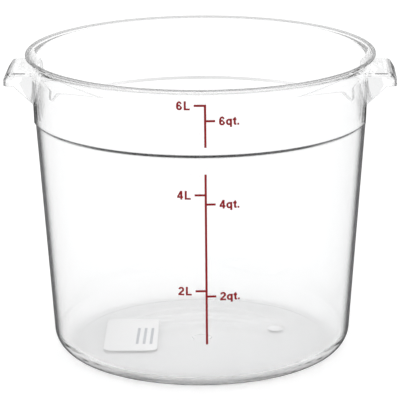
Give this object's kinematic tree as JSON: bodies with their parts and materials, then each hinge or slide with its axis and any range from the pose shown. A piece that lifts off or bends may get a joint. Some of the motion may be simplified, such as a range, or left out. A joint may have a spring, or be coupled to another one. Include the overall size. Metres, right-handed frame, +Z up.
{
  "type": "food storage container",
  "caption": "Round clear tapered food storage tub with a stepped upper band, a flared rim, two hollow side handles and a printed litre and quart scale on the front.",
  "frame": {"origin": "centre of the surface that the tub stands on, on the axis of the turned wall", "axes": "+Z up through the open mouth; the two handles lie along X; -Y is the front, which carries the printed scale"},
  "size_m": [0.2544, 0.228, 0.2],
  "materials": {
    "clear_plastic": "clear polished moulded polycarbonate",
    "red_ink": "semi-matt screen-printed ink",
    "white_paper": "matt coated paper"
  },
  "bodies": {
    "root": {"tub": "clear_plastic", "scale_line_upper": "red_ink", "scale_line_lower": "red_ink", "mark_6l_6": "red_ink", "mark_6l_l": "red_ink", "mark_4l_4": "red_ink", "mark_4l_l": "red_ink", "mark_2l_2": "red_ink", "mark_2l_l": "red_ink", "mark_6qt_6": "red_ink", "mark_6qt_q": "red_ink", "mark_6qt_t": "red_ink", "mark_6qt_stop": "red_ink", "mark_4qt_4": "red_ink", "mark_4qt_q": "red_ink", "mark_4qt_t": "red_ink", "mark_4qt_stop": "red_ink", "mark_2qt_2": "red_ink", "mark_2qt_q": "red_ink", "mark_2qt_t": "red_ink", "mark_2qt_stop": "red_ink", "base_label": "white_paper", "round_sticker": "white_paper"}
  },
  "joints": []
}
